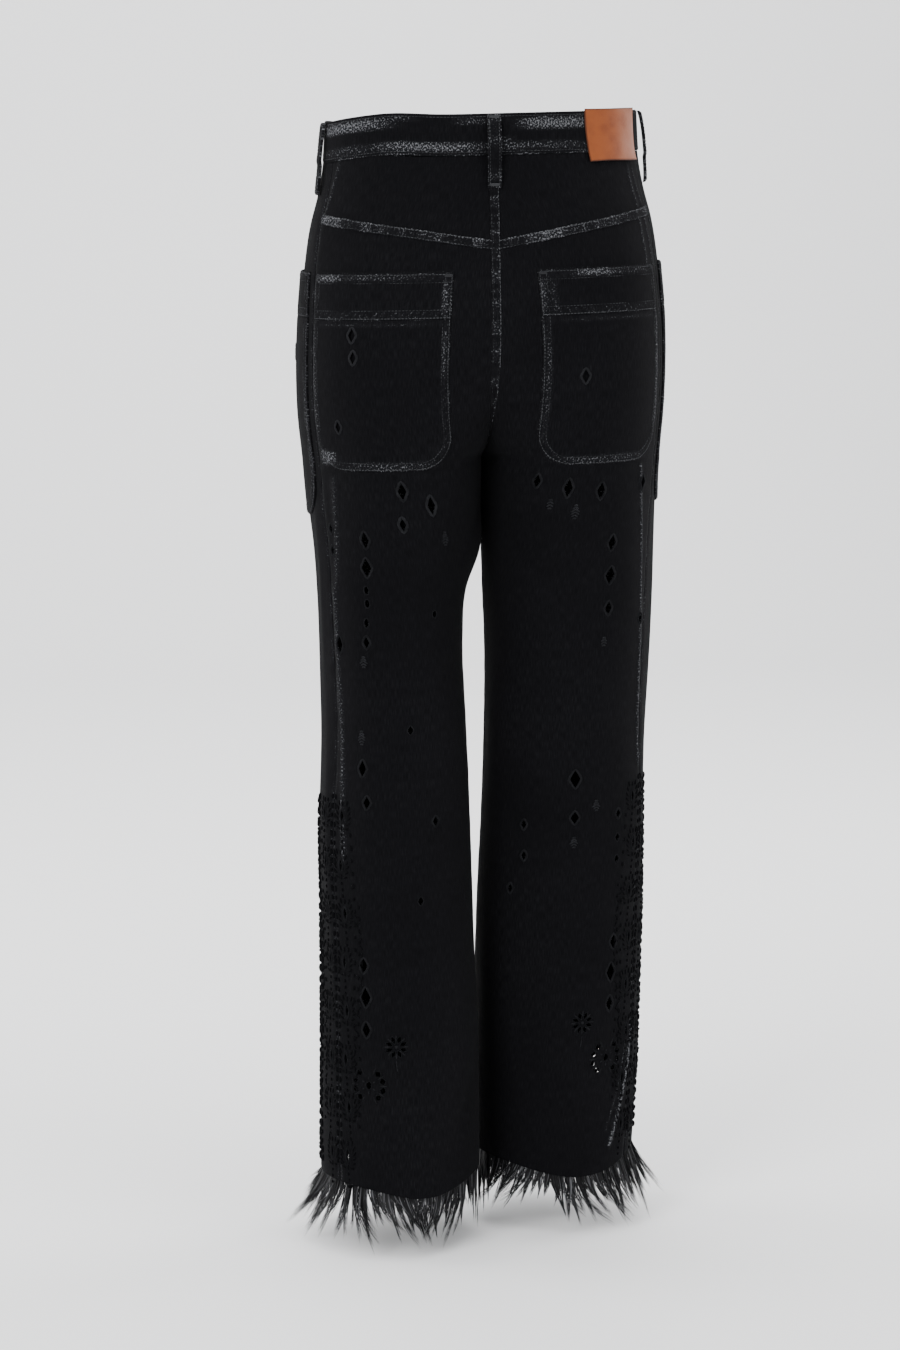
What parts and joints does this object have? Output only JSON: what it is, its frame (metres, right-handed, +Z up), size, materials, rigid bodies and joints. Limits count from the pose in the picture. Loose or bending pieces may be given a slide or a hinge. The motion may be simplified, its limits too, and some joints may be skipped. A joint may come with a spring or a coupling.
{
  "type": "wide-leg trousers",
  "caption": "Wide-leg trousers in black denim, standing hollow as worn, with patch pockets, a bare leather patch, cutwork down the legs and feather hems.",
  "frame": {"origin": "middle of the waist, level with the waistband's top edge at the back", "axes": "+Z up along the garment, -Y the wearer's front, +X the wearer's left"},
  "size_m": [0.3778, 0.2403, 1.1117],
  "materials": {
    "denim": "washed black twill, worn pale along seams and edges",
    "leather": "tan, bare, darker round its worn edges",
    "feather": "dyed black feather barbs",
    "button_metal": "dark gunmetal"
  },
  "bodies": {
    "root": {"waistband": "denim", "yoke_left": "denim", "yoke_right": "denim", "back_left": "denim", "back_right": "denim", "front_left": "denim", "front_right": "denim", "back_pocket_band_left": "denim", "back_pocket_band_right": "denim", "back_pocket_left": "denim", "back_pocket_right": "denim", "front_pocket_band_left": "denim", "front_pocket_band_right": "denim", "front_pocket_left": "denim", "front_pocket_right": "denim", "belt_loop_side_left": "denim", "belt_loop_side_right": "denim", "belt_loop_front_left": "denim", "belt_loop_front_right": "denim", "belt_loop_back": "denim", "leather_patch": "leather", "fly_placket": "denim", "waist_button": "button_metal", "feather_trim_left": "feather", "feather_trim_right": "feather"}
  },
  "joints": []
}
